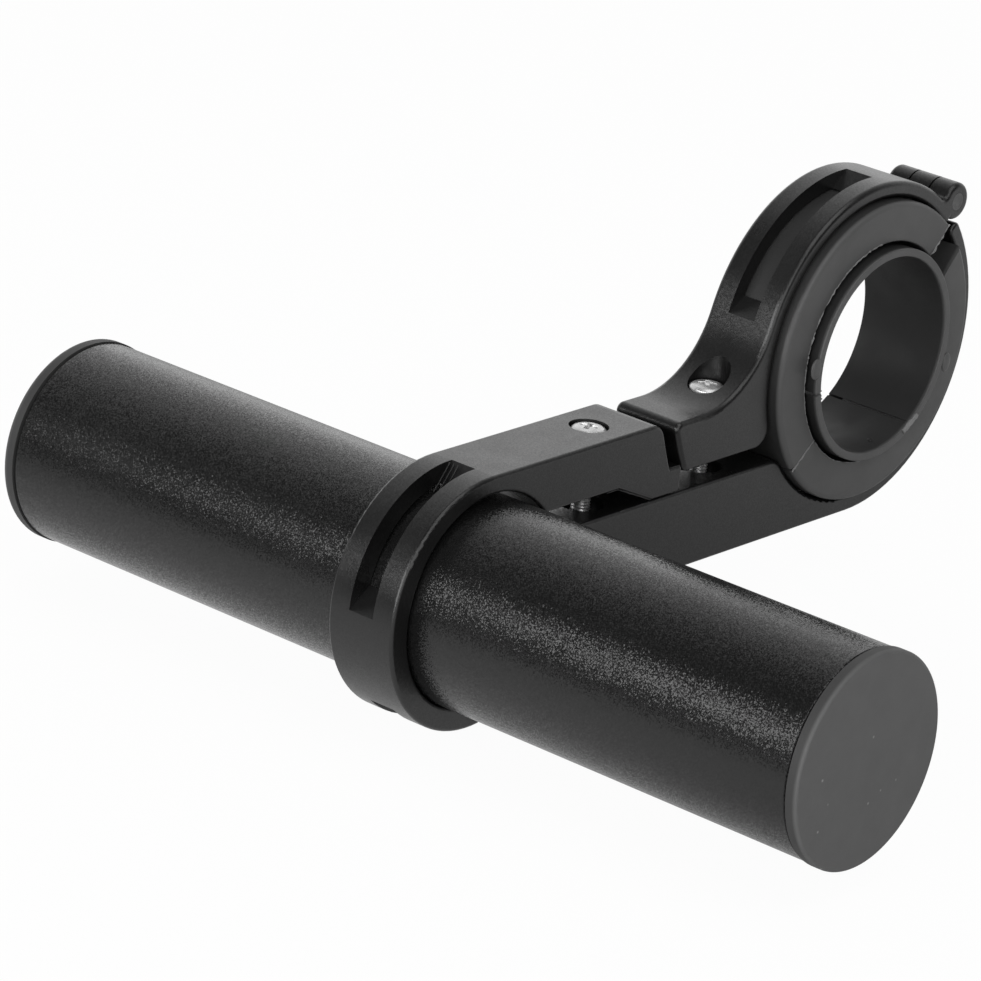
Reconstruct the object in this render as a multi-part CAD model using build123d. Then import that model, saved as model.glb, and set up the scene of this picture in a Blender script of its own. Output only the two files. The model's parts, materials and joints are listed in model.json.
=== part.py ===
from build123d import *
from math import acos, cos, degrees, radians, sin, sqrt
import os

os.makedirs("parts", exist_ok=True)

# Handlebar extender: a short bar carried in front of a handlebar by a slotted clamp.
# Origin on the axis of the handlebar clamp. X runs along both bars, Y from the
# extension bar towards the handlebar, Z up. Millimetres, and degrees where a name
# ends in ANGLE, counted from +Y towards +Z.

# Extension bar and its end caps
TUBE_DIAMETER = 31.8
TUBE_LENGTH = 148.4
TUBE_WALL = 1.6
TUBE_CHAMFER = 0.5
CAP_FLANGE = 1.9
CAP_OVERHANG = 0.2
CAP_EDGE = 0.5
CAP_PLUG_LENGTH = 9.0
CAP_PLUG_WALL = 1.8
CAP_FIT = 0.06
CAP_LEAD = 0.8

# Where the extension bar lies below and in front of the handlebar
REACH = 89.0
DROP = 21.6

# Clamp body and rear jaw
CLAMP_WIDTH = 12.2
BODY_EDGE_ROUND = 0.55
JAW_EDGE_ROUND = 0.8

# Front collar round the extension bar, open at the back as a C
COLLAR_WALL = 3.7
COLLAR_FIT = 0.08
COLLAR_SPRING_OPEN = 0.45
COLLAR_RELIEF_FIT = 0.4
COLLAR_ROOT_ROUND = 5.0

# Arm over the slit, with the foot that bears on the lower beam
ARM_DEPTH = 8.45
ARM_NOSE_ROUND = 3.0
SLIT = 3.7
FOOT_TIP_REACH = 44.4
FOOT_LENGTH = 6.6
FOOT_RAMP = 8.2
FOOT_LEDGE = 4.2
FOOT_SEAT_GAP = 0.2
FOOT_ROUND = 0.6

# Rear clamp ring round the bushes
BORE_DIAMETER = 31.8
INNER_BUSH_WALL = 1.3
BUSH_GAP = 0.7
OUTER_BUSH_WALL = 6.3
SHELL_FIT = 0.3
SHELL_WALL = 2.5
INNER_BUSH_WIDTH = 16.0
INNER_BUSH_SHIFT = 1.5
OUTER_BUSH_WIDTH = 15.6
OUTER_BUSH_RIM_ROUND = 0.9
BUSH_EDGE_ROUND = 0.25
OUTER_SPLIT_FRONT_ANGLE = 221.0
OUTER_SPLIT_GAP_ANGLE = 1.0
OUTER_UPPER_OUTSIDE_ANGLE = 48.5
OUTER_UPPER_INSIDE_ANGLE = 49.8
OUTER_LOWER_OUTSIDE_ANGLE = 34.6
OUTER_LOWER_INSIDE_ANGLE = 29.5
INNER_SPLIT_BACK_ANGLE = -55.0
INNER_SPLIT_FRONT_ANGLE = 191.0
INNER_SPLIT_GAP_ANGLE = 1.6

# Rear jaw, its nose block and the gap it closes
JAW_BLOCK_STEP = 0.85
JAW_GAP = 3.0
JAW_NOSE_ROUND = 1.3
JAW_SWING = 71.0
JAW_THROAT_ROUND = 16.0
JAW_HEEL_ROUND = 3.0
NOSE_GAP = 2.6

# Hinge at the back of the ring
HINGE_ANGLE = 46.4
HINGE_STANDOFF = 1.6
BARREL_RADIUS = 3.0
BARREL_CLEARANCE = 0.3
BARREL_BLEND = 0.9
PIN_DIAMETER = 2.9
PIN_FIT = 0.05
MIDDLE_KNUCKLE = 3.8
KNUCKLE_GAP = 0.3
LOWER_SHELL_END_ANGLE = 40.4
LOWER_SHELL_END_ROUND = 1.0
LOWER_KNUCKLE_END_ANGLE = 47.5
JAW_KNUCKLE_END_ANGLE = 44.5
JAW_SHELL_END_ANGLE = 50.0

# Slots through the collar and the ring, each with two ramped ends
COLLAR_SLOT_WIDTH = 4.5
COLLAR_SLOT_START_ANGLE = 92.0
COLLAR_SLOT_END_ANGLE = 175.0
COLLAR_UNDER_SLOT_START_ANGLE = 231.0
COLLAR_UNDER_SLOT_END_ANGLE = 306.0
COLLAR_RAMP_ANGLE = 12.0
RING_SLOT_WIDTH = 5.0
RING_SLOT_START_ANGLE = 89.5
RING_SLOT_END_ANGLE = 161.0
RING_UNDER_SLOT_START_ANGLE = 285.0
RING_UNDER_SLOT_END_ANGLE = 350.0
RING_RAMP_ANGLE = 7.5

# Clamp screws and nuts
SCREW_DIAMETER = 3.0
SCREW_LENGTH = 20.0
HEAD_DIAMETER = 5.5
HEAD_HEIGHT = 2.1
HEAD_DOME = 0.4
HEAD_ROUND = 0.4
RECESS_DEPTH = 1.3
RECESS_ARM = 0.75
RECESS_SPAN = 3.2
SCREW_TIP_CHAMFER = 0.4
NUT_ACROSS_FLATS = 5.5
NUT_HEIGHT = 2.4
NUT_THREAD_FIT = 0.05
NUT_POCKET_FIT = 0.12
SCREW_THROUGH_NUT = 0.4
HOLE_FIT = 0.2
COUNTERBORE_FIT = 0.3
WELL_DIAMETER = 7.5
WELL_DEPTH = 2.0
FRONT_SCREW_OFFSET = 1.75
FRONT_HEAD_PROUD = 0.1
REAR_SCREW_REACH = 32.3
REAR_SEAT_DEPTH = 0.1
REAR_COUNTERBORE_PLAY = 0.4
REAR_HOLE_PLAY = 0.7

# Lengths and places that follow from the sizes above
TUBE_RADIUS = TUBE_DIAMETER / 2
COLLAR_RADIUS = TUBE_RADIUS + COLLAR_WALL
COLLAR_BORE = TUBE_RADIUS + COLLAR_FIT
TUBE_Y = -REACH
TUBE_Z = -DROP
HALF_WIDTH = CLAMP_WIDTH / 2

ARM_TOP = TUBE_Z + COLLAR_RADIUS
ARM_UNDER = ARM_TOP - ARM_DEPTH
BEAM_TOP = ARM_UNDER - SLIT
FOOT_TIP = -FOOT_TIP_REACH
RAMP_LOW = FOOT_TIP - FOOT_LENGTH
RAMP_HIGH = RAMP_LOW - FOOT_RAMP

BORE_RADIUS = BORE_DIAMETER / 2
INNER_BUSH_RADIUS = BORE_RADIUS + INNER_BUSH_WALL
OUTER_BUSH_BORE = INNER_BUSH_RADIUS + BUSH_GAP
OUTER_BUSH_RADIUS = OUTER_BUSH_BORE + OUTER_BUSH_WALL
SHELL_BORE = OUTER_BUSH_RADIUS + SHELL_FIT
RING_RADIUS = SHELL_BORE + SHELL_WALL
BEAM_UNDER = -RING_RADIUS
JAW_UNDER = BEAM_TOP + JAW_GAP
JAW_BLOCK_TOP = ARM_TOP - JAW_BLOCK_STEP

PIN_RADIUS = PIN_DIAMETER / 2
HALF_KNUCKLE = MIDDLE_KNUCKLE / 2
BARREL_REACH = BARREL_RADIUS + BARREL_CLEARANCE
HINGE_RADIUS = RING_RADIUS + HINGE_STANDOFF
PIN_Y = HINGE_RADIUS * cos(radians(HINGE_ANGLE))
PIN_Z = HINGE_RADIUS * sin(radians(HINGE_ANGLE))
BARREL_SPREAD_ANGLE = degrees(
    acos((RING_RADIUS**2 + HINGE_RADIUS**2 - BARREL_RADIUS**2) / (2 * RING_RADIUS * HINGE_RADIUS))
)

ARM_SWING = JAW_SWING + NOSE_GAP

SCREW_RADIUS = SCREW_DIAMETER / 2
FRONT_SCREW_Y = (TUBE_Y + TUBE_RADIUS + FOOT_TIP) / 2 - FRONT_SCREW_OFFSET
FRONT_SEAT = ARM_TOP + FRONT_HEAD_PROUD - HEAD_HEIGHT
REAR_SCREW_Y = -REAR_SCREW_REACH
REAR_SEAT = JAW_BLOCK_TOP - REAR_SEAT_DEPTH

# Cutters run past the faces they cut
PAST = 1.0
FAR = 200.0


def polar(radius, angle, y=0.0, z=0.0):
    """Point at a radius and an angle in degrees from +Y, about (y, z)."""
    return (y + radius * cos(radians(angle)), z + radius * sin(radians(angle)))


def disc(radius, y=0.0, z=0.0):
    return Pos(y, z) * Circle(radius)


def slab(sketch, low, high):
    """Solid from a Y-Z sketch between two X values."""
    return extrude(Plane.YZ.offset(low) * sketch, high - low)


def box_sketch(y0, y1, z0, z1):
    return Pos((y0 + y1) / 2, (z0 + z1) / 2) * Rectangle(y1 - y0, z1 - z0)


def round_corner(sketch, y, z, radius):
    """Rounds the corner of a sketch that lies nearest to a point."""
    corner = sketch.vertices().sort_by_distance((y, z, 0))[0]
    return fillet(corner, radius)


def side_edges(solid):
    """Outer and inner outlines of the two flat sides of a slab."""
    ends = solid.faces().filter_by(Axis.X).sort_by(Axis.X)
    return [edge for face in (ends[0], ends[-1]) for edge in face.edges()]


def sector(inside, outside, low_in, low_out, high_in, high_out, y=0.0, z=0.0):
    """Part of an annulus whose end faces may lean away from the radial line."""
    middle = (low_out + high_out) / 2
    outer_arc = ThreePointArc(
        polar(outside, low_out, y, z), polar(outside, middle, y, z), polar(outside, high_out, y, z)
    )
    middle = (low_in + high_in) / 2
    inner_arc = ThreePointArc(
        polar(inside, low_in, y, z), polar(inside, middle, y, z), polar(inside, high_in, y, z)
    )
    low = Line(inner_arc @ 0, outer_arc @ 0)
    high = Line(outer_arc @ 1, inner_arc @ 1)
    return make_face([low, outer_arc, high, inner_arc])


def slot_cutter(bore, radius, start, end, ramp, width, y=0.0, z=0.0):
    """Slot through a ring wall; both ends slope outwards over the ramp angle."""
    past = (radius - bore) / 2
    lean = ramp * past / (radius - bore)
    low_in = start + ramp + lean
    high_in = end - ramp - lean
    sketch = sector(bore - past, radius + past, low_in, start - lean, high_in, end + lean, y, z)
    return slab(sketch, -width / 2, width / 2)


def upright(radius, y, z0, z1, play=0.0):
    """Vertical round post on the middle plane, stretched towards +Y by the play."""
    sketch = Circle(radius)
    if play:
        sketch = Pos(0, play / 2) * SlotCenterToCenter(play, 2 * radius, rotation=90)
    return Pos(0, y, z0) * extrude(sketch, z1 - z0)


def hexagon(across_flats, y, z0, z1):
    sketch = RegularPolygon(across_flats / 2, 6, major_radius=False, rotation=30)
    return Pos(0, y, z0) * extrude(sketch, z1 - z0)


def make_tube():
    """Hollow bar with its end edges broken."""
    bar = Cylinder(TUBE_RADIUS, TUBE_LENGTH) - Cylinder(TUBE_RADIUS - TUBE_WALL, TUBE_LENGTH)
    bar = chamfer(bar.edges().filter_by(GeomType.CIRCLE), TUBE_CHAMFER)
    return Pos(0, TUBE_Y, TUBE_Z) * (Rot(0, 90, 0) * bar)


def make_cap(side):
    """Moulded plug with a flange that covers the end of the bar."""
    plug = TUBE_RADIUS - TUBE_WALL - CAP_FIT
    rim = TUBE_RADIUS + CAP_OVERHANG
    profile = Polyline(
        (0, 0),
        (0, CAP_FLANGE),
        (rim, CAP_FLANGE),
        (rim, 0),
        (plug, 0),
        (plug, CAP_LEAD - CAP_PLUG_LENGTH),
        (plug - CAP_LEAD / 2, -CAP_PLUG_LENGTH),
        (plug - CAP_PLUG_WALL, -CAP_PLUG_LENGTH),
        (plug - CAP_PLUG_WALL, 0),
        close=True,
    )
    cap = revolve(Plane.XZ * make_face(profile), Axis.Z)
    outline = cap.edges().filter_by(GeomType.CIRCLE).group_by(Axis.Z)[-1]
    cap = fillet(outline, CAP_EDGE)
    turned = Rot(0, 90 * side, 0) * cap
    return Pos(side * TUBE_LENGTH / 2, TUBE_Y, TUBE_Z) * turned


def ring_half(end, far_z):
    """Disc of the ring without the part past its hinge end, which lies towards far_z."""
    past_end = Polyline((0, 0), polar(FAR, end), (FAR, far_z), (0, far_z), close=True)
    return disc(RING_RADIUS) - make_face(past_end)


def foot_outline():
    """Wedge under the arm's end that closes the window and bears on the beam."""
    heel = BEAM_TOP + FOOT_SEAT_GAP
    ledge = heel + FOOT_LEDGE
    foot = make_face(
        Polyline(
            (RAMP_HIGH, ARM_UNDER),
            (RAMP_LOW, heel),
            (FOOT_TIP, heel),
            (FOOT_TIP, ledge),
            (RAMP_LOW, ledge),
            close=True,
        )
    )
    foot = round_corner(foot, FOOT_TIP, ledge, FOOT_ROUND)
    return round_corner(foot, FOOT_TIP, heel, FOOT_ROUND)


def body_outline():
    """Collar, arm with its foot, beam and lower half of the ring, seen from the side."""
    collar = disc(COLLAR_RADIUS, TUBE_Y, TUBE_Z)
    arm = box_sketch(TUBE_Y, FOOT_TIP + FOOT_RAMP, ARM_UNDER, ARM_TOP)
    arm -= disc(ARM_SWING, PIN_Y, PIN_Z)
    arm = round_corner(arm, FOOT_TIP, ARM_TOP, ARM_NOSE_ROUND)
    beam = box_sketch(TUBE_Y + TUBE_RADIUS, 0, BEAM_UNDER, BEAM_TOP)
    shell = ring_half(LOWER_SHELL_END_ANGLE, FAR) - box_sketch(-FAR, 0, BEAM_TOP, FAR)
    shell = round_corner(shell, *polar(RING_RADIUS, LOWER_SHELL_END_ANGLE), LOWER_SHELL_END_ROUND)
    outline = collar + beam + shell
    root = TUBE_Y + sqrt(COLLAR_RADIUS**2 - (BEAM_UNDER - TUBE_Z) ** 2)
    outline = round_corner(outline, root, BEAM_UNDER, COLLAR_ROOT_ROUND)
    outline = outline + arm + foot_outline()
    outline -= disc(COLLAR_BORE, TUBE_Y, TUBE_Z)
    relief = TUBE_RADIUS + COLLAR_RELIEF_FIT
    outline -= disc(relief, TUBE_Y + COLLAR_SPRING_OPEN, TUBE_Z + COLLAR_SPRING_OPEN)
    outline -= box_sketch(TUBE_Y + TUBE_RADIUS / 2, TUBE_Y + COLLAR_RADIUS, BEAM_TOP, ARM_UNDER)
    outline -= disc(SHELL_BORE)
    outline = round_corner(outline, *polar(SHELL_BORE, LOWER_SHELL_END_ANGLE), LOWER_SHELL_END_ROUND)
    corner = -sqrt(SHELL_BORE**2 - BEAM_TOP**2)
    return round_corner(outline, corner, BEAM_TOP, JAW_HEEL_ROUND)


def jaw_outline():
    """Nose block, upper half of the ring and hinge barrel, seen from the side."""
    block = box_sketch(-FAR, 0, JAW_UNDER, JAW_BLOCK_TOP) & disc(JAW_SWING, PIN_Y, PIN_Z)
    for level in (JAW_BLOCK_TOP, JAW_UNDER):
        tip = PIN_Y - sqrt(JAW_SWING**2 - (level - PIN_Z) ** 2)
        block = round_corner(block, tip, level, JAW_NOSE_ROUND)
    shell = ring_half(JAW_KNUCKLE_END_ANGLE, -FAR) - box_sketch(-FAR, 0, -FAR, JAW_UNDER)
    outline = block + shell
    throat = -sqrt(RING_RADIUS**2 - JAW_BLOCK_TOP**2)
    outline = round_corner(outline, throat, JAW_BLOCK_TOP, JAW_THROAT_ROUND)
    outline += disc(BARREL_RADIUS, PIN_Y, PIN_Z)
    blend = polar(RING_RADIUS, HINGE_ANGLE + BARREL_SPREAD_ANGLE)
    outline = round_corner(outline, *blend, BARREL_BLEND)
    outline -= disc(SHELL_BORE)
    corner = -sqrt(SHELL_BORE**2 - JAW_UNDER**2)
    return round_corner(outline, corner, JAW_UNDER, JAW_HEEL_ROUND)


def middle_knuckle():
    """Barrel of the body between the jaw's two, with the strip of shell that carries it."""
    start = LOWER_SHELL_END_ANGLE - BARREL_SPREAD_ANGLE
    end = LOWER_KNUCKLE_END_ANGLE
    outline = sector(SHELL_BORE, RING_RADIUS, start, start, end, end) + disc(BARREL_RADIUS, PIN_Y, PIN_Z)
    blend = polar(RING_RADIUS, HINGE_ANGLE - BARREL_SPREAD_ANGLE)
    return slab(round_corner(outline, *blend, BARREL_BLEND), -HALF_KNUCKLE, HALF_KNUCKLE)


def middle_gap():
    """Space between the jaw's two barrels, down to the outside of its shell."""
    low = JAW_KNUCKLE_END_ANGLE - BARREL_SPREAD_ANGLE
    end = JAW_SHELL_END_ANGLE
    past = HINGE_ANGLE + 2 * BARREL_SPREAD_ANGLE
    beyond = RING_RADIUS + BARREL_RADIUS
    sketch = disc(BARREL_REACH, PIN_Y, PIN_Z)
    sketch += sector(SHELL_BORE - PAST, beyond, low, low, end, end)
    sketch += sector(RING_RADIUS, beyond, low, low, past, past)
    half = HALF_KNUCKLE + KNUCKLE_GAP
    return slab(sketch, -half, half)


def head_path(y, seat, bottom, top, head_play=0.0, hole_play=0.0):
    """Counterbore and hole through the upper piece, each stretched towards +Y by its play."""
    cut = upright(HEAD_DIAMETER / 2 + COUNTERBORE_FIT, y, seat, top, head_play)
    return cut + upright(SCREW_RADIUS + HOLE_FIT, y, bottom, seat, hole_play)


def nut_path(y, seat):
    """Well in the top of the beam, hole through it and nut pocket in its underside."""
    nut_top = seat - SCREW_LENGTH + SCREW_THROUGH_NUT + NUT_HEIGHT
    cut = upright(SCREW_RADIUS + HOLE_FIT, y, BEAM_UNDER, BEAM_TOP)
    cut += upright(WELL_DIAMETER / 2, y, BEAM_TOP - WELL_DEPTH, BEAM_TOP)
    return cut + hexagon(NUT_ACROSS_FLATS + 2 * NUT_POCKET_FIT, y, BEAM_UNDER - PAST, nut_top)


def pin_hole():
    return slab(disc(PIN_RADIUS + PIN_FIT, PIN_Y, PIN_Z), -HALF_WIDTH, HALF_WIDTH)


def make_body():
    """One moulding: C collar, arm, beam and lower jaw with the middle knuckle."""
    body = slab(body_outline(), -HALF_WIDTH, HALF_WIDTH)
    body = fillet(side_edges(body), BODY_EDGE_ROUND)
    outer_gap = slab(disc(BARREL_REACH, PIN_Y, PIN_Z), HALF_KNUCKLE, HALF_WIDTH + PAST)
    body -= outer_gap + mirror(outer_gap, Plane.YZ)
    body += middle_knuckle()
    body -= pin_hole()
    for start, end in (
        (COLLAR_SLOT_START_ANGLE, COLLAR_SLOT_END_ANGLE),
        (COLLAR_UNDER_SLOT_START_ANGLE, COLLAR_UNDER_SLOT_END_ANGLE),
    ):
        body -= slot_cutter(
            COLLAR_BORE, COLLAR_RADIUS, start, end, COLLAR_RAMP_ANGLE, COLLAR_SLOT_WIDTH, TUBE_Y, TUBE_Z
        )
    start, end = RING_UNDER_SLOT_START_ANGLE, RING_UNDER_SLOT_END_ANGLE
    body -= slot_cutter(SHELL_BORE, RING_RADIUS, start, end, RING_RAMP_ANGLE, RING_SLOT_WIDTH)
    body -= head_path(FRONT_SCREW_Y, FRONT_SEAT, BEAM_TOP, ARM_TOP + PAST)
    body -= nut_path(FRONT_SCREW_Y, FRONT_SEAT)
    return body - nut_path(REAR_SCREW_Y, REAR_SEAT)


def make_jaw():
    """Upper jaw: nose block, slotted shell and the two outer knuckles."""
    jaw = slab(jaw_outline(), -HALF_WIDTH, HALF_WIDTH)
    jaw = fillet(side_edges(jaw), JAW_EDGE_ROUND)
    jaw -= middle_gap()
    jaw -= pin_hole()
    start, end = RING_SLOT_START_ANGLE, RING_SLOT_END_ANGLE
    jaw -= slot_cutter(SHELL_BORE, RING_RADIUS, start, end, RING_RAMP_ANGLE, RING_SLOT_WIDTH)
    return jaw - head_path(
        REAR_SCREW_Y, REAR_SEAT, JAW_UNDER, RING_RADIUS, REAR_COUNTERBORE_PLAY, REAR_HOLE_PLAY
    )


def make_pin():
    pin = Rot(0, 90, 0) * Cylinder(PIN_RADIUS, CLAMP_WIDTH)
    return Pos(0, PIN_Y, PIN_Z) * pin


def round_rims(bush, inner, outer):
    """Rounds the bore's and the outer rim of a bush on both of its flat sides."""
    arcs = bush.edges().filter_by(GeomType.CIRCLE).sort_by(SortBy.RADIUS)
    bush = fillet(arcs[:2], inner)
    arcs = bush.edges().filter_by(GeomType.CIRCLE).sort_by(SortBy.RADIUS)
    return fillet(arcs[-2:], outer)


def make_outer_bush(upper):
    """Thick rubber half that fills the ring."""
    half_gap = OUTER_SPLIT_GAP_ANGLE / 2
    if upper:
        high = OUTER_SPLIT_FRONT_ANGLE - half_gap
        ends = (OUTER_UPPER_INSIDE_ANGLE, OUTER_UPPER_OUTSIDE_ANGLE, high, high)
    else:
        low = OUTER_SPLIT_FRONT_ANGLE + half_gap
        ends = (low, low, OUTER_LOWER_INSIDE_ANGLE + 360, OUTER_LOWER_OUTSIDE_ANGLE + 360)
    sketch = sector(OUTER_BUSH_BORE, OUTER_BUSH_RADIUS, *ends)
    bush = slab(sketch, -OUTER_BUSH_WIDTH / 2, OUTER_BUSH_WIDTH / 2)
    return round_rims(bush, BUSH_EDGE_ROUND, OUTER_BUSH_RIM_ROUND)


def make_inner_bush(low, high):
    """Thin rubber strip inside the thick halves, pushed a little to one side."""
    half_gap = INNER_SPLIT_GAP_ANGLE / 2
    low, high = low + half_gap, high - half_gap
    sketch = sector(BORE_RADIUS, INNER_BUSH_RADIUS, low, low, high, high)
    strip = slab(sketch, -INNER_BUSH_WIDTH / 2, INNER_BUSH_WIDTH / 2)
    return Pos(INNER_BUSH_SHIFT, 0, 0) * round_rims(strip, BUSH_EDGE_ROUND, BUSH_EDGE_ROUND)


def make_screw(y, seat):
    """Pan head screw with a cross recess, its shank at thread size."""
    radius = HEAD_DIAMETER / 2
    shoulder = HEAD_HEIGHT - HEAD_DOME
    sphere = (radius**2 + HEAD_DOME**2) / (2 * HEAD_DOME)
    middle = HEAD_HEIGHT - sphere + sqrt(sphere**2 - radius**2 / 4)
    dome = ThreePointArc((radius, shoulder), (radius / 2, middle), (0, HEAD_HEIGHT))
    outline = Polyline(
        (0, HEAD_HEIGHT),
        (0, -SCREW_LENGTH),
        (SCREW_RADIUS - SCREW_TIP_CHAMFER, -SCREW_LENGTH),
        (SCREW_RADIUS, SCREW_TIP_CHAMFER - SCREW_LENGTH),
        (SCREW_RADIUS, 0),
        (radius, 0),
        (radius, shoulder),
    )
    profile = make_face([outline, dome])
    profile = round_corner(profile, radius, shoulder, HEAD_ROUND)
    screw = revolve(Plane.XZ * profile, Axis.Z)
    arm = Box(RECESS_SPAN, RECESS_ARM, 2 * RECESS_DEPTH)
    cross = Pos(0, 0, HEAD_HEIGHT) * (arm + Rot(0, 0, 90) * arm)
    return Pos(0, y, seat) * (screw - cross)


def make_nut(y, seat):
    bottom = seat - SCREW_LENGTH + SCREW_THROUGH_NUT
    nut = hexagon(NUT_ACROSS_FLATS, y, bottom, bottom + NUT_HEIGHT)
    return nut - upright(SCREW_RADIUS + NUT_THREAD_FIT, y, bottom, bottom + NUT_HEIGHT)


nodes = {
    "extension_tube": make_tube(),
    "end_cap_right": make_cap(1),
    "end_cap_left": make_cap(-1),
    "clamp_body": make_body(),
    "rear_jaw": make_jaw(),
    "hinge_pin": make_pin(),
    "outer_bush_upper": make_outer_bush(True),
    "outer_bush_lower": make_outer_bush(False),
    "inner_bush_long": make_inner_bush(INNER_SPLIT_BACK_ANGLE, INNER_SPLIT_FRONT_ANGLE),
    "inner_bush_short": make_inner_bush(INNER_SPLIT_FRONT_ANGLE, INNER_SPLIT_BACK_ANGLE + 360),
    "front_screw": make_screw(FRONT_SCREW_Y, FRONT_SEAT),
    "rear_screw": make_screw(REAR_SCREW_Y, REAR_SEAT),
    "front_nut": make_nut(FRONT_SCREW_Y, FRONT_SEAT),
    "rear_nut": make_nut(REAR_SCREW_Y, REAR_SEAT),
}
for name, shape in nodes.items():
    export_step(shape, f"parts/{name}.step")
    print(name, len(shape.solids()), round(shape.volume, 1))
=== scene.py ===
"""The handlebar extender's looks: studio, camera, finishes, screws and moulding marks."""
import json
import math
import random

import bmesh
import bpy
from mathutils import Euler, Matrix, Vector


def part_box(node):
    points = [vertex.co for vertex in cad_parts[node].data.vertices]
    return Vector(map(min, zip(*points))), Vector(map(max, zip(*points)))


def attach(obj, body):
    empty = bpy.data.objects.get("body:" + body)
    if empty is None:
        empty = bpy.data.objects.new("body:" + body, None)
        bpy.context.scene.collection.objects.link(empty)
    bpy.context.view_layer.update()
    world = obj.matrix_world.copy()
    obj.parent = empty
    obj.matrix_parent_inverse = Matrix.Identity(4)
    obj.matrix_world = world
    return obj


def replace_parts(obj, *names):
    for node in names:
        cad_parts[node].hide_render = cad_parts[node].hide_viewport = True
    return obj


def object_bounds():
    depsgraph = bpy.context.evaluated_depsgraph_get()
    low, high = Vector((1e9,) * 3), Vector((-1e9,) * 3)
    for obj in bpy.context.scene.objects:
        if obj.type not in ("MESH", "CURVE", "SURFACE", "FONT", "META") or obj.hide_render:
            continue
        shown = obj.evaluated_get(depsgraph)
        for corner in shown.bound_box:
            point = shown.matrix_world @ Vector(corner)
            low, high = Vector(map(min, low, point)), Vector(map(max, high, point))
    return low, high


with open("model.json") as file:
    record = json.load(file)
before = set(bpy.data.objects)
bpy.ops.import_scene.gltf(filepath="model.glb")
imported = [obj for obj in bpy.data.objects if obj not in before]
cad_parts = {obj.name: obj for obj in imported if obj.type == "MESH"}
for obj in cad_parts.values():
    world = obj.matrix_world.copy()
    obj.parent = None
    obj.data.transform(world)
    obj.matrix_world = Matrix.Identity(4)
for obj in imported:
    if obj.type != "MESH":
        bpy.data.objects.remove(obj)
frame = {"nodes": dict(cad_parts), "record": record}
cad_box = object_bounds()

MM = 0.001

# The photograph's camera: place in metres, turn in degrees, lens and sensor in millimetres
CAMERA_PLACE = (0.43720, -0.62993, 0.25090)
CAMERA_TURN = (69.660, -5.589, 40.660)
CAMERA_LENS = 188.877
CAMERA_SENSOR = 36.0
CAMERA_NEAR = 0.01
CAMERA_FAR = 20.0

# The lamps face LAMPS_MIDDLE. Each has the direction it stands in, its distance, its width
# and height, all in metres, and its power in watts.
LAMPS_MIDDLE = (0.0, -0.045, -0.01)
LAMPS = {
    "key": ((-0.05, -0.94, 0.34), 1.5, (1.5, 0.6), 12.0),
    "low": ((0.2, -0.97, 0.07), 1.5, (1.2, 0.22), 5.0),
    "side": ((0.8, -0.55, 0.35), 1.8, (1.4, 1.4), 10.0),
    "overhead": ((0.4, 0.0, 1.0), 1.5, (1.2, 1.6), 9.0),
}

# The room that lights the object: white low behind on the left, dark up and in front on the
# right. Each stop is a share of the turn towards DARK_SIDE and a level.
DARK_SIDE = (0.665, -0.606, 0.436)
ROOM_LEVELS = (
    (0.15, 1.0), (0.357, 0.70), (0.47, 0.46), (0.535, 0.25), (0.555, 0.12), (0.60, 0.10),
    (0.66, 0.06),
)
ROOM_BRIGHTNESS = 1.25

# The floor shows the camera mostly plain white, and gloss mostly the levels below. These levels
# are
# painted shade on the glowing floor: darkest far in front, and dim around the object where its
# shadow falls, so that reflections carry it. Each stop is a share of the way from FLOOR_FRONT
# to
# FLOOR_BACK, along FLOOR_WAY, and a level.
FLOOR_HALF_SIZE = 6.0
FLOOR_DROP = 0.0005
FLOOR_COLOUR = (0.86, 0.86, 0.86, 1.0)
FLOOR_WHITE_SHARE = 0.96
FLOOR_GLOSS_SHARE = 0.97
FLOOR_WAY = (0.5, 1.0, 0.0)
FLOOR_FRONT = -0.45
FLOOR_BACK = 0.15
FLOOR_PAINTED_SHADE_LEVELS = (
    (0.0, 0.03), (0.15, 0.09), (0.215, 0.24), (0.278, 0.40), (0.40, 0.42), (0.47, 0.55),
    (0.57, 0.56), (0.63, 0.40), (0.75, 0.27), (0.86, 0.40), (1.0, 0.54),
)
FLOOR_BRIGHTNESS = 1.4

WHITE = (1.0, 1.0, 1.0, 1.0)

# Where the look of a moulding's sides turns into that of its end faces: X in metres
CAP_EDGE = (0.0753, 0.0759)
# On the two rubbers, the sides inside these edges carry painted shade
BUSH_EDGE = (0.007, 0.0075)
STRIP_EDGE = (0.0088, 0.0094)

# From here on, sizes are in millimetres, and angles in degrees from +Y to +Z.
# The screws: M3 with a pan head and a cross recess
SCREW_LENGTH = 20.0
HEAD_DIAMETER = 5.5
HEAD_HEIGHT = 2.1
HEAD_DOME = 0.45
HEAD_ROUND = 0.35
HEAD_CHAMFER = 0.12
HEAD_SIDES = 64
DOME_STEPS = 8
ROUND_STEPS = 6
THREAD_DIAMETER = 3.0
THREAD_PITCH = 0.5
# A share of the pitch
THREAD_DEPTH = 0.541
THREAD_SIDES = 32
# Half length and half width of the recess's arms, at the top of the head and at their floor
RECESS_MOUTH = (1.5, 0.45)
RECESS_FLOOR = (1.1, 0.3)
RECESS_DEPTH = 0.8
CUTTER_RISE = 0.5
SCREW_SHARP = 65.0

# The moulding marks
BEAD_SIDES = 8
BEAD_LEAN = (0.57, 0.31, 0.76)
MARK_SHARP = 60.0
# The upper ramp of the collar's slot: Y and Z of its ends
RAMP_TOP = (-89.75, -2.1)
RAMP_FOOT = (-92.8, -6.05)
RIB_PLACES = (-1.85, -1.05, -0.25)
# X of the faces that the flash lies on
BUSH_FACE = 7.75
STRIP_FACE = 9.45
CLAMP_FACE = 5.85
# The edge, from bore to rim, where the upper bush ends beside the hinge
HINGE_SIDE_END = (
    (BUSH_FACE, 18.2 * 0.6468, 18.2 * 0.7627),
    (BUSH_FACE, 24.0 * 0.66, 24.0 * 0.751),
)


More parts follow.
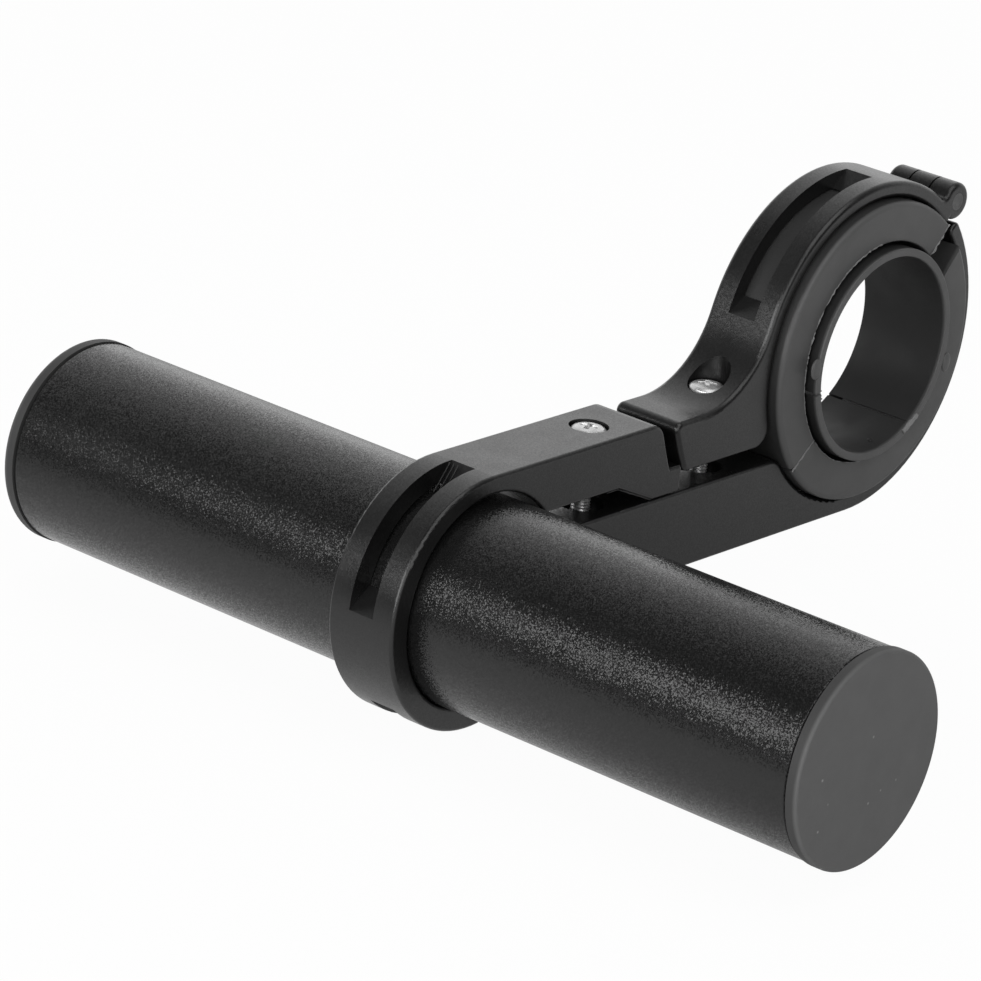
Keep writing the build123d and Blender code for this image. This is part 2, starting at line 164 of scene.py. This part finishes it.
def add_camera():
    data = bpy.data.cameras.new("camera")
    data.sensor_fit = "HORIZONTAL"
    data.sensor_width = CAMERA_SENSOR
    data.lens = CAMERA_LENS
    data.clip_start = CAMERA_NEAR
    data.clip_end = CAMERA_FAR
    camera = bpy.data.objects.new("camera", data)
    camera.location = CAMERA_PLACE
    camera.rotation_euler = Euler([math.radians(a) for a in CAMERA_TURN], "XYZ")
    bpy.context.collection.objects.link(camera)
    bpy.context.scene.camera = camera


def add_area(name, towards, distance, size, power):
    """Soft rectangular lamp that faces the middle of the object."""
    data = bpy.data.lights.new(name, "AREA")
    data.shape = "RECTANGLE"
    data.size, data.size_y = size
    data.energy = power
    lamp = bpy.data.objects.new(name, data)
    direction = Vector(towards).normalized()
    lamp.location = Vector(LAMPS_MIDDLE) + direction * distance
    lamp.rotation_euler = direction.to_track_quat("Z", "Y").to_euler()
    bpy.context.collection.objects.link(lamp)


def add_node(tree, kind, inputs=None, **settings):
    """Adds a shader node; each input is a value, or the output to link to it."""
    node = tree.nodes.new("ShaderNode" + kind)
    for setting, value in settings.items():
        setattr(node, setting, value)
    for name, value in (inputs or {}).items():
        if isinstance(value, bpy.types.NodeSocket):
            tree.links.new(value, node.inputs[name])
        else:
            node.inputs[name].default_value = value
    return node


def add_math(tree, operation, *values):
    return add_node(tree, "Math", dict(enumerate(values)), operation=operation).outputs[0]


def add_vector_math(tree, operation, *values):
    node = add_node(tree, "VectorMath", dict(enumerate(values)), operation=operation)
    return node.outputs["Value" if operation == "DOT_PRODUCT" else "Vector"]


def add_range(tree, value, start, end):
    """The share of the way from start to end that a value has come."""
    node = add_node(tree, "MapRange", {"Value": value, "From Min": start, "From Max": end})
    return node.outputs["Result"]


def add_ramp(tree, value, stops):
    """Turns a value into a grey; each stop is a place and a level."""
    node = add_node(tree, "ValToRGB", {0: value})
    elements = node.color_ramp.elements
    while len(elements) < len(stops):
        elements.new(0.5)
    for element, (at, level) in zip(elements, stops):
        element.position = at
        element.color = (level, level, level, 1.0)
    return node.outputs["Color"]


def add_world():
    """White backdrop and sides, with a dark ceiling towards the front."""
    world = bpy.data.worlds.new("studio")
    bpy.context.scene.world = world
    world.use_nodes = True
    tree = world.node_tree
    tree.nodes.clear()
    path = add_node(tree, "LightPath").outputs
    place = add_node(tree, "TexCoord").outputs["Generated"]
    dark_side = Vector(DARK_SIDE).normalized()
    turn = add_vector_math(tree, "DOT_PRODUCT", place, dark_side)
    share = add_math(tree, "MULTIPLY_ADD", turn, 0.5, 0.5)
    level = add_math(tree, "MULTIPLY", add_ramp(tree, share, ROOM_LEVELS), ROOM_BRIGHTNESS)
    seen = add_math(tree, "MAXIMUM", path["Is Camera Ray"], path["Is Transmission Ray"])
    room = add_node(tree, "Background", {"Color": WHITE, "Strength": level})
    backdrop = add_node(tree, "Background", {"Color": WHITE, "Strength": 1.0})
    mix = add_node(tree, "MixShader", {0: seen, 1: room.outputs[0], 2: backdrop.outputs[0]})
    add_node(tree, "OutputWorld", {"Surface": mix.outputs[0]})


def add_floor():
    """Pale floor; the camera sees it lightened, so its shadow stays faint, and gloss sees
    painted shade on it.
    """
    half = FLOOR_HALF_SIZE
    height = cad_box[0][2] - FLOOR_DROP
    corners = [(x * half, y * half, height) for x, y in ((-1, -1), (1, -1), (1, 1), (-1, 1))]
    mesh = bpy.data.meshes.new("floor")
    mesh.from_pydata(corners, [], [(0, 1, 2, 3)])
    floor = bpy.data.objects.new("floor", mesh)
    bpy.context.collection.objects.link(floor)
    material = bpy.data.materials.new("floor")
    material.use_nodes = True
    tree = material.node_tree
    shader = tree.nodes["Principled BSDF"]
    shader.inputs["Base Color"].default_value = FLOOR_COLOUR
    shader.inputs["Roughness"].default_value = 0.9
    shader.inputs["Specular IOR Level"].default_value = 0.1
    path = add_node(tree, "LightPath").outputs
    place = add_node(tree, "TexCoord").outputs["Object"]
    # Painted shade for glossy rays: the floor's glow falls and rises across it, dim around the
    # object
    along = add_vector_math(tree, "DOT_PRODUCT", place, FLOOR_WAY)
    depth = add_range(tree, along, FLOOR_FRONT, FLOOR_BACK)
    painted_shade = add_math(tree, "MULTIPLY", add_ramp(tree, depth, FLOOR_PAINTED_SHADE_LEVELS), FLOOR_BRIGHTNESS)
    level = add_node(tree, "Mix", {0: path["Is Glossy Ray"], 2: 1.0, 3: painted_shade}).outputs[0]
    share = add_math(
        tree, "ADD",
        add_math(tree, "MULTIPLY", path["Is Camera Ray"], FLOOR_WHITE_SHARE),
        add_math(tree, "MULTIPLY", path["Is Glossy Ray"], FLOOR_GLOSS_SHARE),
    )
    glow = add_node(tree, "Emission", {"Strength": level})
    mix = add_node(tree, "MixShader", {0: share, 1: shader.outputs[0], 2: glow.outputs[0]})
    tree.links.new(mix.outputs[0], tree.nodes["Material Output"].inputs["Surface"])
    mesh.materials.append(material)


class Finish:
    """A node material with a few helpers for wiring it."""

    def __init__(self, name, specular, metallic=0.0):
        self.material = bpy.data.materials.new(name)
        self.material.use_nodes = True
        self.tree = self.material.node_tree
        self.shader = self.tree.nodes["Principled BSDF"]
        self.shader.inputs["Metallic"].default_value = metallic
        self.shader.inputs["Specular IOR Level"].default_value = specular
        self.place = add_node(self.tree, "TexCoord").outputs["Object"]

    def noise(self, scale, detail=2.0, rough=0.5):
        inputs = {"Vector": self.place, "Scale": scale, "Detail": detail, "Roughness": rough}
        return add_node(self.tree, "TexNoise", inputs).outputs["Fac"]

    def cells(self, scale):
        return add_node(self.tree, "TexVoronoi", {"Vector": self.place, "Scale": scale}).outputs

    def ramp(self, value, stops):
        return add_ramp(self.tree, value, stops)

    def patches(self, dark, light, scale, detail=2.0, rough=0.5):
        """A level that wanders between two over the surface."""
        return self.ramp(self.noise(scale, detail, rough), [(0.3, dark), (0.7, light)])

    def bump(self, scale, strength, distance):
        """Normals of fine bumps."""
        inputs = {"Height": self.noise(scale), "Strength": strength, "Distance": distance}
        return add_node(self.tree, "Bump", inputs).outputs["Normal"]

    def facets(self, scale, tilt, normal):
        """Normals of fine flat grains, each leaning its own way by up to half the tilt."""
        lean = add_vector_math(
            self.tree, "MULTIPLY_ADD",
            self.cells(scale)["Color"], (tilt, tilt, tilt), (-tilt / 2, -tilt / 2, -tilt / 2),
        )
        leaning = add_vector_math(self.tree, "ADD", normal, lean)
        return add_vector_math(self.tree, "NORMALIZE", leaning)

    def faced(self, face, sides, edge):
        """One colour on the end faces and another on the sides."""
        split = add_node(self.tree, "SeparateXYZ", {0: self.place})
        out = add_math(self.tree, "ABSOLUTE", split.outputs["X"])
        inputs = {"Factor": add_range(self.tree, out, *edge), "A": sides, "B": face}
        return add_node(self.tree, "Mix", inputs, data_type="RGBA").outputs["Result"]

    def wire(self, colour, rough, normal):
        self.tree.links.new(colour, self.shader.inputs["Base Color"])
        self.tree.links.new(rough, self.shader.inputs["Roughness"])
        self.tree.links.new(normal, self.shader.inputs["Normal"])
        return self.material


def bar_finish():
    """Black anodised aluminium with a fine blasted grain that sparkles."""
    f = Finish("bar_black", specular=0.5)
    grain = f.noise(scale=5500.0, rough=0.6)
    plain = add_node(f.tree, "NewGeometry").outputs["Normal"]
    return f.wire(
        colour=f.ramp(grain, [(0.35, 0.003), (0.65, 0.007), (0.8, 0.016)]),
        rough=f.patches(0.16, 0.2, scale=60.0),
        normal=f.facets(scale=7000.0, tilt=0.24, normal=plain),
    )


def clamp_finish():
    """Black moulding with a weaker grain over a soft unevenness."""
    f = Finish("clamp_black", specular=0.58)
    uneven = f.bump(scale=90.0, strength=0.2, distance=0.0002)
    return f.wire(
        colour=f.patches(0.004, 0.006, scale=40.0, detail=3.0),
        rough=f.patches(0.27, 0.34, scale=150.0, detail=3.0),
        normal=f.facets(scale=5600.0, tilt=0.08, normal=uneven),
    )


def rubber_finish(name, face_levels, painted_shade_levels=None, edge=None):
    """Smooth moulded rubber; if side levels are given, its sides and bores get painted shade,
    darker than its faces.
    """
    f = Finish(name, specular=0.45)
    colour = f.patches(*face_levels, scale=70.0, detail=4.0)
    # Painted shade: the sides and bores are darker than the end faces
    if painted_shade_levels:
        colour = f.faced(colour, f.patches(*painted_shade_levels, scale=70.0, detail=4.0), edge)
    return f.wire(
        colour=colour,
        rough=f.patches(0.46, 0.6, scale=200.0, detail=3.0),
        normal=f.bump(scale=1500.0, strength=0.25, distance=0.00004),
    )


def cap_finish():
    """Matt grey moulded plastic with a few specks of dust and darker sides."""
    f = Finish("cap_grey", specular=0.4)
    dust = f.ramp(f.cells(scale=260.0)["Distance"], [(0.03, 0.14), (0.07, 0.0)])
    plain = f.patches(0.086, 0.094, scale=300.0, detail=4.0, rough=0.7)
    face = add_vector_math(f.tree, "ADD", plain, dust)
    sides = f.patches(0.03, 0.035, scale=70.0, detail=4.0)
    return f.wire(
        colour=f.faced(face, sides, CAP_EDGE),
        rough=f.patches(0.5, 0.62, scale=120.0, detail=3.0),
        normal=f.bump(scale=900.0, strength=0.2, distance=0.00004),
    )


def metal_finish(name, dark, light, roughness):
    f = Finish(name, specular=0.5, metallic=0.7)
    return f.wire(
        colour=f.patches(dark, light, scale=500.0, detail=4.0, rough=0.7),
        rough=f.patches(roughness - 0.08, roughness + 0.08, scale=900.0, detail=3.0),
        normal=f.bump(scale=1800.0, strength=0.15, distance=0.00003),
    )


def add_piece(name, bm, body, finish, sharp):
    """Turns a finished bmesh, in millimetres, into a piece that rides on a body."""
    bmesh.ops.scale(bm, vec=(MM, MM, MM), verts=bm.verts)
    piece = to_object(name, bm)
    piece.data.shade_smooth()
    piece.data.set_sharp_from_angle(angle=math.radians(sharp))
    piece.data.materials.append(finishes[finish])
    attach(piece, body)
    return piece


def to_object(name, bm):
    """Turns a bmesh into an object, in the same unit."""
    bmesh.ops.recalc_face_normals(bm, faces=bm.faces)
    mesh = bpy.data.meshes.new(name)
    bm.to_mesh(mesh)
    bm.free()
    made = bpy.data.objects.new(name, mesh)
    bpy.context.collection.objects.link(made)
    return made


def around(middle, radius, turn, height):
    """Point at a turn about an upright axis."""
    x = middle[0] + radius * math.cos(turn)
    y = middle[1] + radius * math.sin(turn)
    return (x, y, height)


def add_lathe(bm, outline, middle):
    """Closed solid of revolution; the outline is radius and height, from axis to axis."""
    rings = []
    for radius, height in outline:
        count = HEAD_SIDES if radius else 1
        turns = [2 * math.pi * i / count for i in range(count)]
        rings.append([bm.verts.new(around(middle, radius, t, height)) for t in turns])
    for upper, lower in zip(rings, rings[1:]):
        for i in range(HEAD_SIDES):
            j = (i + 1) % HEAD_SIDES
            places = ((upper, i), (upper, j), (lower, j), (lower, i))
            corners = [ring[k % len(ring)] for ring, k in places]
            bm.faces.new(list(dict.fromkeys(corners)))


def add_thread(bm, middle, top, bottom):
    """Helical thread between two heights; its corners are shares of the pitch and radii."""
    crest = THREAD_DIAMETER / 2
    root = crest - THREAD_DEPTH * THREAD_PITCH
    corners = ((0.0, crest), (0.125, crest), (0.4375, root), (0.6875, root))
    steps = THREAD_SIDES
    count = (math.ceil((top - bottom) / THREAD_PITCH) + 2) * steps
    rows = []
    for k in range(count + 1):
        row = []
        for share, radius in corners:
            height = top + THREAD_PITCH * (1 - k / steps - share)
            if not bottom < height < top:
                height = min(max(height, bottom), top)
                radius = root
            row.append(bm.verts.new(around(middle, radius, 2 * math.pi * k / steps, height)))
        rows.append(row)
    for k in range(count):
        for i in range(3):
            bm.faces.new((rows[k][i], rows[k][i + 1], rows[k + 1][i + 1], rows[k + 1][i]))
        if k + steps < count:
            below = (rows[k + steps][0], rows[k + steps + 1][0])
            bm.faces.new((rows[k][3], *below, rows[k + 1][3]))
    bmesh.ops.remove_doubles(bm, verts=bm.verts, dist=0.001)
    bmesh.ops.dissolve_degenerate(bm, edges=bm.edges, dist=0.0005)
    bmesh.ops.holes_fill(bm, edges=bm.edges)


def make_cutter(middle, top, turn):
    """One tapered arm of the cross recess."""
    bm = bmesh.new()
    rims = []
    for (length, width), height in (
        (RECESS_MOUTH, top + CUTTER_RISE),
        (RECESS_MOUTH, top),
        (RECESS_FLOOR, top - RECESS_DEPTH),
    ):
        rim = []
        for a, b in ((-1, -1), (1, -1), (1, 1), (-1, 1)):
            u, v = a * length, b * width
            x = u * math.cos(turn) - v * math.sin(turn)
            y = u * math.sin(turn) + v * math.cos(turn)
            rim.append(bm.verts.new((middle[0] + x, middle[1] + y, height)))
        rims.append(rim)
    bm.faces.new(rims[0])
    bm.faces.new(rims[-1])
    join_rings(bm, rims)
    return bm


def join_rings(bm, rings):
    """Walls between rings that have the same number of points."""
    for near, far in zip(rings, rings[1:]):
        for i in range(len(near)):
            j = (i + 1) % len(near)
            bm.faces.new((near[i], near[j], far[j], far[i]))


def carve(bm, cutters):
    """Cuts closed bmeshes out of another one."""
    solid = to_object("solid", bm)
    tools = [to_object("cutter", cutter) for cutter in cutters]
    for tool in tools:
        cut = solid.modifiers.new("recess", "BOOLEAN")
        cut.operation = "DIFFERENCE"
        cut.solver = "EXACT"
        cut.object = tool
    bpy.context.view_layer.update()
    carved = bmesh.new()
    carved.from_object(solid, bpy.context.evaluated_depsgraph_get())
    for made in (solid, *tools):
        mesh = made.data
        bpy.data.objects.remove(made)
        bpy.data.meshes.remove(mesh)
    return carved


def add_screw(node, body, turn):
    """Pan head screw with a cross recess and a cut thread, in place of its plain solid."""
    low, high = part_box(node)
    middle = ((low[0] + high[0]) / 2 / MM, (low[1] + high[1]) / 2 / MM)
    seat = low[2] / MM + SCREW_LENGTH
    top = seat + HEAD_HEIGHT
    radius = HEAD_DIAMETER / 2
    dome = [
        (radius * i / DOME_STEPS, top - HEAD_DOME * (i / DOME_STEPS) ** 2)
        for i in range(DOME_STEPS)
    ]
    edge = []
    for i in range(1, ROUND_STEPS + 1):
        a = math.pi * i / (2 * ROUND_STEPS)
        inset = HEAD_ROUND * (1 - math.sin(a))
        edge.append((radius - inset, top - HEAD_DOME - HEAD_ROUND * (1 - math.cos(a))))
    foot = [(radius, seat + HEAD_CHAMFER), (radius - HEAD_CHAMFER, seat), (0.0, seat)]
    head = bmesh.new()
    add_lathe(head, dome + edge + foot, middle)
    arms = [make_cutter(middle, top, math.radians(turn + side)) for side in (0, 90)]
    screw = carve(head, arms)
    add_thread(screw, middle, seat, low[2] / MM)
    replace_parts(add_piece(node + "_threaded", screw, body, "zinc", SCREW_SHARP), node)


def arc(radius, start, end, x, steps):
    """Points along an arc about the ring's axis."""
    angles = [math.radians(start + (end - start) * i / steps) for i in range(steps + 1)]
    return [Vector((x, radius * math.cos(a), radius * math.sin(a))) for a in angles]


def line(start, end, steps=10):
    return [Vector(start).lerp(Vector(end), i / steps) for i in range(steps + 1)]


def add_bead(bm, points, thin, thick, wander, dice):
    """Uneven rounded bead along a line of points, closed at both ends."""
    rings = []
    for i, point in enumerate(points):
        ahead = points[min(i + 1, len(points) - 1)] - points[max(i - 1, 0)]
        across = ahead.cross(Vector(BEAD_LEAN)).normalized()
        up = across.cross(ahead).normalized()
        radius = dice.uniform(thin, thick)
        aside = across * dice.uniform(-wander, wander)
        middle = point + aside + up * dice.uniform(-wander, wander)
        turns = [2 * math.pi * j / BEAD_SIDES for j in range(BEAD_SIDES)]
        rings.append([
            bm.verts.new(middle + radius * (math.cos(t) * across + math.sin(t) * up))
            for t in turns
        ])
    join_rings(bm, rings)
    bm.faces.new(rings[0])
    bm.faces.new(rings[-1])


def add_beads(name, body, finish, beads):
    """One piece made of uneven beads: points, thinnest and thickest radius, wander."""
    dice = random.Random(name)
    bm = bmesh.new()
    for points, thin, thick, wander in beads:
        add_bead(bm, points, thin, thick, wander, dice)
    add_piece(name, bm, body, finish, MARK_SHARP)


def add_lumps(name, body, finish, lumps, dice):
    """One piece made of uneven lumps: middle, half sizes, unevenness."""
    bm = bmesh.new()
    for middle, half_sizes, rough in lumps:
        made = bmesh.ops.create_icosphere(bm, subdivisions=3, radius=1.0)
        for vert in made["verts"]:
            push = 1.0 + rough * dice.uniform(-1.0, 1.0)
            moved = [vert.co[i] * half_sizes[i] * push for i in range(3)]
            vert.co = Vector(middle) + Vector(moved)
    add_piece(name, bm, body, finish, MARK_SHARP)


finishes = {
    "bar_black": bar_finish(),
    "clamp_black": clamp_finish(),
    "cap_grey": cap_finish(),
    # The rubbers' second levels are painted shade on their sides and bores, darker than their
    # faces
    "bush_rubber": rubber_finish("bush_rubber", (0.064, 0.072), (0.02, 0.026), BUSH_EDGE),
    "inner_rubber": rubber_finish("inner_rubber", (0.065, 0.075), (0.008, 0.012), STRIP_EDGE),
    "flash": rubber_finish("flash", (0.12, 0.2)),
    "zinc": metal_finish("zinc", 0.45, 0.7, 0.3),
    "pin_steel": metal_finish("pin_steel", 0.08, 0.14, 0.5),
}
for part in frame["record"]["subparts"]:
    for slot in frame["nodes"][part["node"]].material_slots:
        slot.material = finishes[part["material_slot"]]

add_camera()
add_world()
add_floor()
add_screw("front_screw", "collar_screw", 20.0)
add_screw("rear_screw", "jaw_screw", 35.0)

# Three moulded ribs on the upper ramp of the collar's slot
add_beads("slot_ribs", "clamp", "clamp_black", [
    (line((x, *RAMP_TOP), (x, *RAMP_FOOT)), 0.13, 0.15, 0.0) for x in RIB_PLACES
])

# Flash left by the moulds on the rubber bushes
add_beads("upper_bush_flash", "jaw", "flash", [
    (arc(18.05, 96.0, 172.0, BUSH_FACE, 60), 0.06, 0.2, 0.08),
    (arc(18.0, 172.0, 219.0, BUSH_FACE, 40), 0.05, 0.15, 0.05),
    (line(*HINGE_SIDE_END), 0.1, 0.3, 0.12),
])
add_beads("lower_bush_flash", "clamp", "flash", [
    (line((BUSH_FACE, -18.35, -15.95), (BUSH_FACE, -13.5, -11.75), 16), 0.1, 0.2, 0.05),
    (arc(17.95, 223.0, 300.0, BUSH_FACE, 50), 0.03, 0.12, 0.05),
])
add_beads("strip_flash", "clamp", "flash", [
    (arc(16.35, -61.0, -47.0, STRIP_FACE, 9), 0.25, 0.5, 0.08),
    (arc(16.0, 190.0, 196.0, STRIP_FACE - 0.2, 6), 0.1, 0.3, 0.1),
])

# Most of the strips' lower joint is moulded shut
add_beads("strip_joint", "clamp", "inner_rubber", [
    (line((9.3, 9.25, -13.2), (-3.5, 9.25, -13.2), 20), 0.24, 0.3, 0.03),
])

# Stubs of the moulding gates on the strips
add_lumps("gate_stubs", "clamp", "inner_rubber", [
    ((9.35, -17.6, 1.15), (0.4, 1.25, 1.7), 0.03),
    ((9.35, 17.55, -4.6), (0.4, 1.0, 1.6), 0.03),
    ((6.7, 3.1, -15.65), (0.5, 0.35, 0.35), 0.05),
], random.Random(5))

# Fine flash on the near edges of the slit and of the arm's foot
add_beads("slit_flash", "clamp", "clamp_black", [
    (line((CLAMP_FACE, -62.0, -10.5), (CLAMP_FACE, -59.3, -10.5)), 0.05, 0.12, 0.03),
    (line((CLAMP_FACE, -59.1, -10.6), (CLAMP_FACE, -51.2, -13.9), 20), 0.06, 0.12, 0.03),
    (line((CLAMP_FACE, -58.5, -14.2), (CLAMP_FACE, -51.5, -14.2), 20), 0.05, 0.12, 0.04),
    (line((CLAMP_FACE, -47.6, -9.7), (CLAMP_FACE, -44.9, -9.75)), 0.06, 0.12, 0.02),
])

for name, lamp in LAMPS.items():
    add_area(name, *lamp)
bpy.context.scene.view_settings.view_transform = "Standard"
